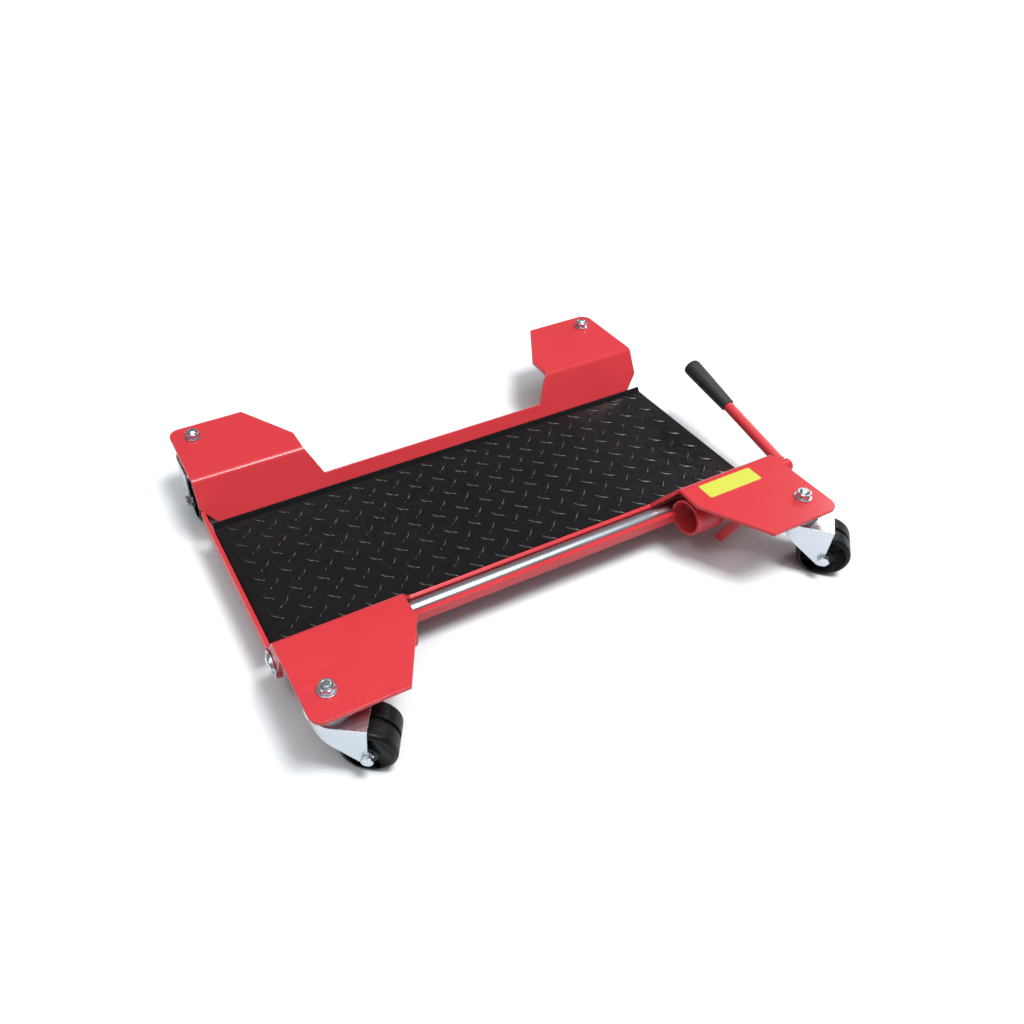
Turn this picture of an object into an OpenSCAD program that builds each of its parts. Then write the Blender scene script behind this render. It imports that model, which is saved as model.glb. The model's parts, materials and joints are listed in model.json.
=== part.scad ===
// Low four-wheel dolly that carries a motorcycle on its centre stand.
// All sizes are millimetres. Z is up and the floor is at z = 0.
// The sub-parts are drawn about the deck's centre, X along the lock shaft and Y from front to rear,
// and then moved so that the origin lies under the middle of the whole dolly's outline.

/* [Deck] */
// Length of the deck, along the lock shaft
deck_l = 560; // [520:5:640]
// Depth of the deck, from the front wings' edge to the rear wings' edge
deck_d = 420; // [400:5:480]
// Height of the wings' top face above the floor
wing_top = 80; // [76:1:90]
// Height of the platform's top face above the floor, under the mat
platform_top = 32; // [28:1:36]
// Thickness of the deck's sheet steel
sheet_t = 4; // [3:0.5:5]
// Inside radius of every bend in the sheet
bend_r = 4; // [3:0.5:6]
// Half depth of the platform, to the foot of each slope
platform_half = 87.5; // [80:0.5:92]
// Half distance between the bend lines at the tops of the slopes
bend_half = 117.5; // [112:0.5:125]
// Height of the low flanges and the end lip above the floor
flange_top = 51.7; // [46:0.1:56]
// Half length of the low flange, along its top edge
flange_half = 140; // [130:1:150]
// Half distance between two wings, along the bend line
wing_gap_half = 156; // [150:1:165]
// Half distance between two wings, along the deck's outer edge
wing_gap_outer_half = 195; // [185:1:205]
// Distance from the centre line to where a wing's inner edge starts to slant
wing_slant_start = 146.6; // [140:0.2:160]
// Radius of the wings' outer corners
wing_corner_r = 12; // [6:1:20]

/* [Mat] */
// Thickness of the rubber mat under its treads
mat_t = 3; // [2:0.5:4]
// Height of one tread above the mat
tread_h = 1.2; // [0.8:0.1:2]
// Length of one tread
tread_l = 20; // [14:1:24]
// Width of one tread at its middle
tread_w = 5; // [3:0.5:7]
// Distance between two treads of one slant, along the deck
tread_pitch_x = 28.75; // [26:0.25:34]
// Distance between two treads of one slant, across the deck
tread_pitch_y = 26.7; // [25:0.1:32]
// How far the mat stops short of the deck's open end
mat_end_gap = 4; // [2:0.5:10]

/* [Casters] */
// Distance from the deck's centre to a caster's swivel axis, along the deck
stem_x = 257; // [240:1:262]
// Distance from the deck's centre to a front caster's swivel axis, across the deck
stem_front_y = 183; // [175:1:188]
// Distance from the deck's centre to a rear caster's swivel axis, across the deck
stem_rear_y = 188; // [180:1:192]
// Diameter of a wheel
wheel_d = 50; // [44:1:52]
// Width of a wheel's tread
wheel_w = 38; // [30:1:39]
// Radius of the tread's shoulders
wheel_shoulder_r = 4; // [2:0.5:6]
// Distance from the swivel axis to the axle
trail = 35; // [30:1:35]
// Inside width of the fork
fork_gap = 41; // [40:0.5:44]
// Thickness of the fork's pressed steel
fork_t = 2.5; // [2:0.1:3]
// Length of the fork's top web behind the swivel axis
fork_back = 35.2; // [32:0.2:38]
// Distance from the wing's underside down to the fork's top web
fork_drop = 14.5; // [12:0.5:16]
// Radius of the fork's ends round the axle
fork_tip_r = 9; // [7:0.5:10]
// Diameter of the bolt that holds a caster to its wing
wing_bolt_d = 8; // [6:1:8]
// Width of that bolt's head and nut, across their flats
wing_bolt_af = 13; // [11:0.5:15]
// Height of that bolt's head above its washer
wing_bolt_head = 5.6; // [4:0.1:7]
// Diameter of the axle bolt
axle_d = 6; // [5:0.5:8]
// Outside diameter of the sleeve that the wheel turns on
sleeve_d = 10; // [9:0.5:12]
// Diameter of one swivel ball
ball_d = 5; // [4:0.5:5]
// Radius of the circle of swivel balls
ball_circle_r = 12; // [11:0.5:13]
// Number of swivel balls in one caster
ball_count = 12; // [8:1:12]
// Swivel angle of the front left caster, the way its wheel trails
swivel_front_left = -34; // [-60:1:-20]
// Swivel angle of the front right caster
swivel_front_right = -46; // [-60:1:-20]
// Swivel angle of the rear left caster
swivel_rear_left = -90; // [-95:1:-85]
// Swivel angle of the rear right caster
swivel_rear_right = -60; // [-80:1:-40]

/* [Lock] */
// Distance of the lock shaft's axis in front of the deck's centre line
shaft_y = 110; // [109:0.5:114]
// Height of the lock shaft's axis above the floor
shaft_z = 43; // [41:0.5:44]
// Diameter of the lock shaft
shaft_d = 16; // [12:1:16]
// Outside diameter of a foot ring
ring_d = 38; // [32:1:40]
// Wall of a foot ring
ring_t = 3; // [2:0.5:4]
// Length of a foot ring
ring_l = 34; // [28:1:36]
// Distance from the deck's centre to a foot ring's inner end
ring_x = 158; // [156:1:160]
// Angle of a foot ring above the horizontal, seen from the shaft
ring_angle = 22.4; // [18:0.2:24]
// Width of the lock bar
bar_w = 11.5; // [8:0.5:12]
// Thickness of the lock bar
bar_t = 5.5; // [4:0.5:6]
// Distance from the deck's centre to an inner hanger's middle
hanger_inner_x = 205; // [204:1:210]
// Thickness of a hanger
hanger_t = 5; // [4:0.5:6]
// Radius of a hanger round the shaft
hanger_r = 14; // [12:0.5:15]
// Gap between a foot ring's outer end and its guard strap
strap_gap = 3; // [2:0.5:3]
// Height of a guard strap's lower end above the floor
strap_z = 20; // [16:1:30]
// Width of a guard strap
strap_w = 10; // [8:1:12]

/* [Lever] */
// Distance of the lever beyond the deck's open end
lever_out = 40; // [38:1:60]
// Angle of the resting lever above the horizontal
lever_angle = 12.8; // [8:0.2:20]
// Length of the lever from the shaft's axis to the grip's tip
lever_l = 167.6; // [140:0.2:200]
// Diameter of the lever's bar
lever_d = 12; // [10:1:14]
// Length of the lever's hub
hub_l = 12; // [12:1:20]
// Diameter of the lever's hub
hub_d = 15; // [14:0.5:24]
// Diameter of the shaft's turned-down end, inside the lever's hub
neck_d = 10; // [8:0.5:11]
// Length of the grip
grip_l = 71; // [60:1:90]
// Diameter of the grip at its tip
grip_d = 20; // [18:0.5:24]
// Diameter of the grip at its mouth
grip_mouth_d = 15.5; // [15:0.5:18]

/* [Hidden] */
$fn = 64;
// Radial clearance of a turning fit
run_fit = 0.06;
// Radial clearance of a loose fit, such as a nut on its bolt
loose_fit = 0.05;
// Gap between faces that pass each other
face_gap = 0.3;

// Deck
slope_a = atan((wing_top - platform_top) / (bend_half - platform_half));
slope_l = norm([bend_half - platform_half, wing_top - platform_top]);
outer_r = bend_r + sheet_t;
// The arcs are this much larger, so that each crosses the flat face beside it cleanly
blend = 0.002;
half_turn = tan(slope_a / 2);
foot_y = platform_half - bend_r * half_turn;
crest_y = bend_half + outer_r * half_turn;
wing_under = wing_top - sheet_t;
platform_under = platform_top - sheet_t;
flange_v = (flange_top - platform_top) / sin(slope_a);
lip_gap = 1;
relief_l = 18;

// Mat
mat_x0 = -deck_l / 2 + outer_r;
mat_x1 = deck_l / 2 - mat_end_gap;
mat_mid = (mat_x0 + mat_x1) / 2;
mat_top = platform_top + mat_t;
mat_foot = foot_y - face_gap;
mat_edge = platform_half + mat_t / tan(slope_a) - 0.5;
tread_bulge = tread_w / 2;
tread_arc_r = (tread_l * tread_l / 4 + tread_bulge * tread_bulge) / tread_w;
tread_cols = floor((mat_x1 - mat_mid - tread_l / 2) / tread_pitch_x);
tread_rows = floor((mat_edge - tread_l * 0.36) / tread_pitch_y);

// Casters
wheel_r = wheel_d / 2;
fork_half = fork_gap / 2 + fork_t;
web_top = wing_under - fork_drop;
nose_x = 6;
nose_a = 232;
race_t = 3.4;
race_r = 19.5;
race_under = wing_under - race_t;
ball_z = race_under - 0.7;
dish_top = race_under - 1.4;
dish_t = 3;
dish_r = 18.5;
groove_r = ball_d / 2 + 0.15;
bolt_r = wing_bolt_d / 2;
post_r = bolt_r + 2;
post_end_r = post_r + 3;
post_end_t = 3;
post_end_z = dish_top - dish_t - face_gap - post_end_t;
washer_r = 8.5;
washer_t = 1.8;
wing_nut_h = 6.5;
axle_r = axle_d / 2;
bolt_head_h = 4;
axle_nut_h = 5;
bolt_af = 10;
groove_w = 3.5;
groove_depth = 3;
face_recess = 4;
hub_r = 9;
rim_w = 4.5;
hub_half = fork_gap / 2 - 0.5;
// One row for each caster: name, side along X, side along Y, swivel angle
CORNERS = [
    ["front_left", -1, -1, swivel_front_left],
    ["front_right", 1, -1, swivel_front_right],
    ["rear_left", -1, 1, swivel_rear_left],
    ["rear_right", 1, 1, swivel_rear_right]
];

// Lock
shaft_r = shaft_d / 2;
ring_r = ring_d / 2;
// The ring is coped onto the shaft, 1 mm deep
ring_offset = ring_r + shaft_r - 1;
ring_y = shaft_y + ring_offset * cos(ring_angle);
ring_z = shaft_z + ring_offset * sin(ring_angle);
bar_y = shaft_y + shaft_r - 1;
bar_z = shaft_z + 0.75;
hanger_outer_x = (deck_l - hanger_t) / 2;
strap_t = 5;
strap_x = ring_x + ring_l + strap_gap + strap_t / 2;
strap_foot_y = 144.5;
strap_head_y = 168;
shaft_washer_t = 1.5;
clip_t = 1.2;
clip_depth = 1;
shaft_washer_x = deck_l / 2 + face_gap;
clip_x = shaft_washer_x + shaft_washer_t;
shoulder_x = clip_x + clip_t + 1.5;

// Lever
lever_x = deck_l / 2 + lever_out;
hub_x0 = lever_x - hub_l / 2;
shaft_end_x = lever_x + hub_l / 2 + 0.5;
arm_end = lever_l - 9;
grip_start = lever_l - grip_l;

// Outline of the whole dolly, which gives the origin
reach_left = max(shoulder_x, stem_x + fork_half + bolt_head_h);
reach_right = max(lever_x + grip_d / 2, shaft_end_x);
function wheel_reach(a) = stem_front_y + trail * sin(a) + (wheel_w / 2 - wheel_shoulder_r) * cos(a)
    + (wheel_r - wheel_shoulder_r) * sin(a) + wheel_shoulder_r;
reach_front = max(deck_d / 2, wheel_reach(-swivel_front_left), wheel_reach(-swivel_front_right));
reach_rear = deck_d / 2;
origin_x = (reach_right - reach_left) / 2;
origin_y = (reach_rear - reach_front) / 2;

RED = [0.83, 0.14, 0.16];
ZINC = [0.78, 0.81, 0.84];
BLACK = [0.09, 0.09, 0.10];
GRIP = [0.14, 0.16, 0.16];

// A wedge round a bend's centre, between two angles
module wedge(a0, a1) {
    far = 3 * outer_r;
    mid = (a0 + a1) / 2;
    polygon([[0, 0], far * [cos(a0), sin(a0)], 1.3 * far * [cos(mid), sin(mid)],
             far * [cos(a1), sin(a1)]]);
}

// The metal that fills the sharp inside corner of a bend
module bend_inside(a0, a1) {
    intersection() {
        wedge(a0, a1);
        difference() {
            circle(bend_r + sheet_t / 2);
            circle(bend_r + blend);
        }
    }
}

// What a bend's round outside takes off the sharp corner
module bend_outside(a0, a1) {
    difference() {
        wedge(a0, a1);
        circle(outer_r + blend);
    }
}

// The sheet's section across the deck, drawn with sharp corners and then rounded
module section() {
    edge = [[platform_half, platform_top], [bend_half, wing_top], [deck_d / 2, wing_top],
            [deck_d / 2, wing_under], [bend_half + sheet_t * half_turn, wing_under],
            [platform_half + sheet_t * half_turn, platform_under]];
    last = len(edge) - 1;
    difference() {
        union() {
            polygon(concat(edge, [for (i = [last:-1:0]) [-edge[i][0], edge[i][1]]]));
            for (side = [0, 1])
                mirror([side, 0]) {
                    translate([foot_y, platform_top + bend_r])
                        bend_inside(-90, slope_a - 90);
                    translate([crest_y, wing_top - outer_r])
                        bend_inside(90, 90 + slope_a);
                }
        }
        for (side = [0, 1])
            mirror([side, 0]) {
                translate([foot_y, platform_top + bend_r])
                    bend_outside(-90, slope_a - 90);
                translate([crest_y, wing_top - outer_r])
                    bend_outside(90, 90 + slope_a);
            }
    }
}

// Places its children, drawn in a plane across the deck, as a plate at x
module across(x, t) {
    translate([x - t / 2, 0, 0])
        rotate([90, 0, 90])
            linear_extrude(t)
                children();
}

module both_sides() {
    children();
    mirror([0, 1, 0])
        children();
}

module all_corners() {
    for (sx = [0, 1], sy = [0, 1])
        mirror([sx, 0, 0])
            mirror([0, sy, 0])
                children();
}

// What is cut from the sheet between the two wings on one side
module wing_gap_cut() {
    // The open space between the wings
    translate([0, 0, flange_top + 5])
        linear_extrude(wing_top)
            polygon([[-wing_gap_half, bend_half], [wing_gap_half, bend_half],
                     [wing_gap_half, wing_slant_start], [wing_gap_outer_half, deck_d / 2 + 1],
                     [-wing_gap_outer_half, deck_d / 2 + 1], [-wing_gap_half, wing_slant_start]]);
    // The slope above the low flange, cut square to the slope's own face
    translate([0, platform_half, platform_top])
        rotate([slope_a, 0, 0])
            translate([0, 0, -2 * outer_r])
                linear_extrude(4 * outer_r)
                    polygon([[-flange_half, flange_v], [flange_half, flange_v],
                             [wing_gap_half, slope_l], [-wing_gap_half, slope_l]]);
}

module wing_corner_cut() {
    translate([deck_l / 2 - wing_corner_r, deck_d / 2 - wing_corner_r, wing_under - 1])
        difference() {
            cube([wing_corner_r + 1, wing_corner_r + 1, sheet_t + 2]);
            translate([0, 0, -1])
                cylinder(r = wing_corner_r, h = sheet_t + 4);
        }
}

// The relief at the foot of a slope's end, which keeps the slope's bend clear of the lip's
module relief_cut() {
    foot_x = deck_l / 2 - relief_l;
    translate([foot_x + 1, foot_y, platform_under - 1])
        cube([relief_l, outer_r, sheet_t + 2]);
    translate([0, platform_half, platform_top])
        rotate([slope_a, 0, 0])
            translate([0, 0, -2 * outer_r])
                linear_extrude(4 * outer_r)
                    polygon([[foot_x, 0], [foot_x, bend_r], [deck_l / 2 - 3, flange_v - 2],
                             [deck_l / 2 + 1, flange_v + 3], [deck_l / 2 + 1, 0]]);
}

// Places its children, drawn in the plane along the deck with z upward, right across the platform
module along(half_l) {
    translate([-deck_l / 2 + outer_r, half_l, platform_top + bend_r])
        rotate([90, 0, 0])
            linear_extrude(2 * half_l)
                children();
}

// The lip that closes the platform's left end: it grows wider upward, between the slopes
module end_lip() {
    top_half = platform_half + (flange_top - platform_top) / tan(slope_a) - lip_gap;
    translate([-deck_l / 2, 0, 0])
        rotate([90, 0, 90])
            linear_extrude(sheet_t)
                polygon([[-foot_y, platform_under], [foot_y, platform_under],
                         [foot_y, platform_top], [top_half, flange_top],
                         [-top_half, flange_top], [-foot_y, platform_top]]);
    along(foot_y)
        bend_inside(180, 270);
}

module deck_plate() {
    color(RED)
        difference() {
            union() {
                difference() {
                    translate([-deck_l / 2, 0, 0])
                        rotate([90, 0, 90])
                            linear_extrude(deck_l)
                                section();
                    both_sides()
                        wing_gap_cut();
                    all_corners() {
                        relief_cut();
                        wing_corner_cut();
                    }
                    for (corner = CORNERS)
                        at_bolt(corner)
                            translate([0, 0, wing_under - 1])
                                cylinder(d = wing_bolt_d + 0.5, h = sheet_t + 2);
                }
                end_lip();
            }
            along(bend_half)
                bend_outside(180, 270);
        }
}

// One tread: a lens with its long way along X
module tread() {
    linear_extrude(tread_h)
        intersection() {
            translate([0, tread_arc_r - tread_bulge])
                circle(tread_arc_r);
            translate([0, tread_bulge - tread_arc_r])
                circle(tread_arc_r);
        }
}

module rubber_mat() {
    color(BLACK) {
        translate([mat_x0, 0, 0])
            rotate([90, 0, 90])
                linear_extrude(mat_x1 - mat_x0)
                    polygon([[-mat_foot, platform_top], [mat_foot, platform_top],
                             [mat_edge, mat_top], [-mat_edge, mat_top]]);
        translate([mat_mid, 0, mat_top]) {
            for (i = [-tread_cols:tread_cols], j = [-tread_rows:tread_rows])
                translate([i * tread_pitch_x, j * tread_pitch_y])
                    rotate(-45)
                        tread();
            for (i = [-tread_cols:tread_cols - 1], j = [-tread_rows:tread_rows - 1])
                translate([(i + 0.5) * tread_pitch_x, (j + 0.5) * tread_pitch_y])
                    rotate(45)
                        tread();
        }
    }
}

// Underside of a slope: its distance from the centre line at height z
function slope_under(z) = platform_half + sheet_t / sin(slope_a) + (z - platform_top) / tan(slope_a);

// A plate under a front slope and wing, with the bore that the lock shaft turns in
module hanger(x) {
    neck_z = shaft_z - hanger_r * 0.6;
    weld_z = wing_top - outer_r + bend_r * cos(slope_a);
    color(RED)
        mirror([0, 1, 0])
            difference() {
                union() {
                    across(x, hanger_t)
                        translate([shaft_y, shaft_z])
                            circle(hanger_r);
                    across(x, hanger_t)
                        polygon([[platform_half, neck_z], [platform_half, wing_top],
                                 [shaft_y + hanger_r + 14, wing_top],
                                 [shaft_y + 0.95 * hanger_r, shaft_z + 2],
                                 [shaft_y, neck_z]]);
                }
                // What lies above the underside of the slope and the wing
                across(x, hanger_t + 2)
                    polygon([[slope_under(0), 0], [slope_under(weld_z), weld_z],
                             [crest_y, wing_under], [deck_d, wing_under],
                             [deck_d, 2 * wing_top], [0, 2 * wing_top], [0, 0]]);
                across(x, hanger_t + 2)
                    translate([shaft_y, shaft_z])
                        circle(shaft_r + run_fit);
            }
}

// A strap under a front wing, between the caster's sweep and the foot ring
module guard_strap(x) {
    color(RED)
        mirror([0, 1, 0])
            across(x, strap_t)
                polygon([[strap_foot_y, strap_z], [strap_foot_y + strap_w, strap_z],
                         [strap_head_y + strap_w, wing_under], [strap_head_y, wing_under]]);
}

// Places its children, drawn along Z, along the lock shaft from x
module on_shaft(x) {
    translate([x, -shaft_y, shaft_z])
        rotate([0, 90, 0])
            children();
}

// The shaft's full diameter, from one end to its shoulder before the lever
module shaft_body() {
    on_shaft(-shoulder_x)
        cylinder(d = shaft_d, h = 2 * shoulder_x);
}

module lock_shaft() {
    bevel = 1;
    neck_r = neck_d / 2;
    color(ZINC)
        difference() {
            union() {
                on_shaft(-shoulder_x)
                    cylinder(r1 = shaft_r - bevel, r2 = shaft_r, h = bevel);
                on_shaft(-shoulder_x + bevel)
                    cylinder(d = shaft_d, h = 2 * (shoulder_x - bevel));
                on_shaft(shoulder_x - bevel)
                    cylinder(r1 = shaft_r, r2 = shaft_r - bevel, h = bevel);
                on_shaft(shoulder_x - bevel)
                    cylinder(r = neck_r, h = shaft_end_x - shoulder_x);
                on_shaft(shaft_end_x - bevel)
                    cylinder(r1 = neck_r, r2 = neck_r - bevel, h = bevel);
            }
            // Grooves for the two retaining clips
            for (x = [-clip_x - clip_t, clip_x])
                on_shaft(x)
                    difference() {
                        cylinder(d = shaft_d + 2, h = clip_t);
                        translate([0, 0, -1])
                            cylinder(r = shaft_r - clip_depth, h = clip_t + 2);
                    }
        }
}

module lock_bar() {
    color(RED)
        difference() {
            translate([-ring_x, -bar_y - bar_t, bar_z - bar_w / 2])
                cube([2 * ring_x, bar_t, bar_w]);
            shaft_body();
        }
}

// A short tube, coped onto the shaft: its lowest side presses on the floor when the lock is on
module foot_ring(x) {
    color(RED)
        difference() {
            translate([x, -ring_y, ring_z])
                rotate([0, 90, 0])
                    difference() {
                        cylinder(r = ring_r, h = ring_l);
                        translate([0, 0, -1])
                            cylinder(r = ring_r - ring_t, h = ring_l + 2);
                    }
            shaft_body();
        }
}

module shaft_washer(x) {
    color(ZINC)
        on_shaft(x)
            difference() {
                cylinder(r = shaft_r + 5, h = shaft_washer_t);
                translate([0, 0, -1])
                    cylinder(r = shaft_r + run_fit, h = shaft_washer_t + 2);
            }
}

// An open spring clip in a groove of the shaft
module retaining_clip(x) {
    color(ZINC)
        on_shaft(x)
            difference() {
                cylinder(r = shaft_r + 2, h = clip_t);
                translate([0, 0, -1])
                    cylinder(r = shaft_r - clip_depth, h = clip_t + 2);
                translate([0, -shaft_r / 2, -1])
                    cube([2 * shaft_r, shaft_r, clip_t + 2]);
            }
}

module lever_hub() {
    color(RED)
        on_shaft(hub_x0)
            difference() {
                cylinder(d = hub_d, h = hub_l);
                translate([0, 0, -1])
                    cylinder(d = neck_d, h = hub_l + 2);
            }
}

// Places its children, drawn along Z, along the lever
module on_lever(s) {
    translate([lever_x, -shaft_y, shaft_z])
        rotate([lever_angle - 90, 0, 0])
            translate([0, 0, s])
                children();
}

module lever_arm() {
    color(RED)
        difference() {
            on_lever(hub_d / 4)
                cylinder(d = lever_d, h = arm_end - hub_d / 4);
            on_shaft(hub_x0 - 1)
                cylinder(d = hub_d, h = hub_l + 2);
        }
}

// A tapered sleeve, closed and rounded at its tip
module lever_grip() {
    tip_round = 4;
    tip_r = grip_d / 2;
    color(GRIP)
        on_lever(grip_start)
            difference() {
                union() {
                    cylinder(r1 = grip_mouth_d / 2, r2 = tip_r, h = grip_l - tip_round);
                    translate([0, 0, grip_l - tip_round])
                        rotate_extrude()
                            intersection() {
                                union() {
                                    square([tip_r - tip_round, tip_round]);
                                    translate([tip_r - tip_round, 0])
                                        circle(tip_round);
                                }
                                square([tip_r, tip_round]);
                            }
                }
                translate([0, 0, -1])
                    cylinder(r = lever_d / 2 + loose_fit, h = arm_end - grip_start + 1 + face_gap);
            }
}

// Places its children with Z on a corner's bolt, which is the caster's swivel axis
module at_bolt(corner) {
    translate([corner[1] * stem_x, corner[2] < 0 ? -stem_front_y : stem_rear_y, 0])
        children();
}

// Places its children at a corner and turns them: X is the way the wheel trails
module at_corner(corner) {
    at_bolt(corner)
        rotate(corner[3])
            children();
}

// Places its children, drawn along Z, along the axle, with their middle at the wheel's
module on_axle() {
    translate([trail, 0, wheel_r])
        rotate([90, 0, 0])
            children();
}

// A hexagon nut or head with its corners rounded off by a cone at both ends
module hexagon(af, h) {
    corner_r = af / sqrt(3);
    intersection() {
        cylinder(r = corner_r, h = h, $fn = 6);
        cylinder(r1 = af / 2, r2 = af / 2 + h, h = h);
        cylinder(r1 = af / 2 + h, r2 = af / 2, h = h);
    }
}

// A hexagon bolt with a dished head: it clamps the caster's post to the wing
module mount_bolt(corner) {
    seat_z = wing_top + washer_t;
    foot_z = post_end_z - wing_nut_h - 1.5;
    dish_depth = 1;
    dish_mouth = wing_bolt_af * 0.38;
    color(ZINC)
        at_bolt(corner) {
            translate([0, 0, foot_z])
                cylinder(r = bolt_r, h = seat_z - foot_z + 1);
            translate([0, 0, seat_z])
                rotate(30)
                    difference() {
                        hexagon(wing_bolt_af, wing_bolt_head);
                        translate([0, 0, wing_bolt_head - dish_depth])
                            cylinder(r1 = dish_mouth - 1, r2 = dish_mouth + 1, h = 2 * dish_depth);
                    }
        }
}

// The circle in which the swivel balls run
module ball_groove() {
    translate([0, 0, ball_z])
        rotate_extrude()
            translate([ball_circle_r, 0])
                circle(groove_r);
}

// The race plate under the wing, in one piece with the hollow post that the fork turns on
module top_race(corner) {
    color(ZINC)
        at_corner(corner)
            difference() {
                union() {
                    translate([0, 0, race_under])
                        cylinder(r = race_r, h = race_t);
                    translate([0, 0, post_end_z + 1])
                        cylinder(r = post_r, h = race_under - post_end_z);
                    translate([0, 0, post_end_z])
                        cylinder(r = post_end_r, h = post_end_t);
                }
                translate([0, 0, post_end_z - 1])
                    cylinder(r = bolt_r + loose_fit, h = wing_top - post_end_z);
                ball_groove();
            }
}

module mount_washer(corner) {
    color(ZINC)
        at_bolt(corner)
            translate([0, 0, wing_top])
                difference() {
                    cylinder(r = washer_r, h = washer_t);
                    translate([0, 0, -1])
                        cylinder(r = bolt_r + 0.4, h = washer_t + 2);
                }
}

module mount_nut(corner) {
    color(ZINC)
        at_bolt(corner)
            translate([0, 0, post_end_z - wing_nut_h])
                difference() {
                    hexagon(wing_bolt_af, wing_nut_h);
                    translate([0, 0, -1])
                        cylinder(r = bolt_r + loose_fit, h = wing_nut_h + 2);
                }
}

// Plan of the fork, drawn in by a margin: round at the nose and square at the back
module fork_plan(margin, back) {
    translate([nose_x, 0])
        circle(fork_half - margin);
    translate([nose_x, margin - fork_half])
        square([back - nose_x, 2 * (fork_half - margin)]);
}

// Side view of the fork, which narrows from the web to the axle
module fork_side() {
    web_end = [fork_back, web_top];
    to_end = web_end - [trail, wheel_r];
    end_a = atan2(to_end[1], to_end[0]) - acos(fork_tip_r / norm(to_end));
    nose = nose_x - fork_half;
    tip = [trail, wheel_r];
    lead = tip + fork_tip_r * [cos(nose_a), sin(nose_a)];
    translate(tip)
        circle(fork_tip_r);
    polygon([web_end, [nose, web_top], [nose, lead[1] + (lead[0] - nose) / tan(nose_a)], lead, tip,
             tip + fork_tip_r * [cos(end_a), sin(end_a)]]);
}

module fork(corner) {
    dish_under = dish_top - dish_t;
    color(ZINC)
        at_corner(corner)
            difference() {
                union() {
                    intersection() {
                        difference() {
                            linear_extrude(web_top)
                                fork_plan(0, fork_back);
                            translate([0, 0, -1])
                                linear_extrude(web_top - fork_t + 1)
                                    fork_plan(fork_t, fork_back + 1);
                        }
                        rotate([90, 0, 0])
                            translate([0, 0, -fork_half - 1])
                                linear_extrude(2 * fork_half + 2)
                                    fork_side();
                    }
                    translate([0, 0, web_top - fork_t])
                        cylinder(r1 = dish_r + 2.5, r2 = dish_r, h = dish_top - web_top + fork_t);
                }
                // The dish is pressed up, so it is hollow below
                translate([0, 0, web_top - fork_t - 0.01])
                    cylinder(r1 = dish_r - 0.5, r2 = dish_r - 3, h = dish_under - web_top + fork_t);
                translate([0, 0, dish_under - 1])
                    cylinder(r = post_r + run_fit, h = dish_t + 2);
                ball_groove();
                on_axle()
                    translate([0, 0, -fork_half - 1])
                        cylinder(r = axle_r + loose_fit, h = 2 * fork_half + 2);
            }
}

module swivel_balls(corner) {
    color(ZINC)
        at_corner(corner)
            for (i = [0:ball_count - 1])
                rotate(i * 360 / ball_count)
                    translate([ball_circle_r, 0, ball_z])
                        sphere(d = ball_d);
}

module axle_bolt(corner) {
    thread_out = 1.5;
    color(ZINC)
        at_corner(corner)
            on_axle() {
                translate([0, 0, fork_half])
                    hexagon(bolt_af, bolt_head_h);
                translate([0, 0, -fork_half - axle_nut_h - thread_out])
                    cylinder(r = axle_r, h = 2 * fork_half + axle_nut_h + thread_out + 1);
            }
}

module axle_nut(corner) {
    color(ZINC)
        at_corner(corner)
            on_axle()
                translate([0, 0, -fork_half - axle_nut_h])
                    difference() {
                        hexagon(bolt_af, axle_nut_h);
                        translate([0, 0, -1])
                            cylinder(r = axle_r + loose_fit, h = axle_nut_h + 2);
                    }
}

module axle_sleeve(corner) {
    color(ZINC)
        at_corner(corner)
            on_axle()
                translate([0, 0, -fork_gap / 2])
                    difference() {
                        cylinder(d = sleeve_d, h = fork_gap);
                        translate([0, 0, -1])
                            cylinder(r = axle_r + loose_fit, h = fork_gap + 2);
                    }
}

// Half of the wheel's section: distance from the axle along X, along the axle in Y
module wheel_section() {
    bore_r = sleeve_d / 2 + run_fit;
    half_w = wheel_w / 2;
    flat_half = half_w - wheel_shoulder_r;
    rim_r = wheel_r - rim_w;
    difference() {
        union() {
            translate([bore_r, -half_w])
                square([wheel_r - wheel_shoulder_r - bore_r, wheel_w]);
            translate([bore_r, -flat_half])
                square([wheel_r - bore_r, 2 * flat_half]);
            for (side = [-1, 1])
                translate([wheel_r - wheel_shoulder_r, side * flat_half])
                    circle(wheel_shoulder_r);
            translate([bore_r, -hub_half])
                square([hub_r - bore_r, 2 * hub_half]);
        }
        translate([wheel_r - groove_depth, -groove_w / 2])
            square([groove_depth + 1, groove_w]);
        // The dished faces between the hub and the rim
        for (side = [-1, 1])
            polygon([[hub_r, side * (hub_half + 1)], [hub_r, side * (half_w - face_recess)],
                     [rim_r - 2, side * (half_w - face_recess)], [rim_r, side * half_w],
                     [rim_r, side * (hub_half + 1)]]);
    }
}

module wheel(corner) {
    color(BLACK)
        at_corner(corner)
            on_axle()
                rotate_extrude()
                    wheel_section();
}

// Everything is drawn about the deck's centre and moved here to the dolly's own origin
module placed() {
    translate([-origin_x, -origin_y, 0])
        children();
}

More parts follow.
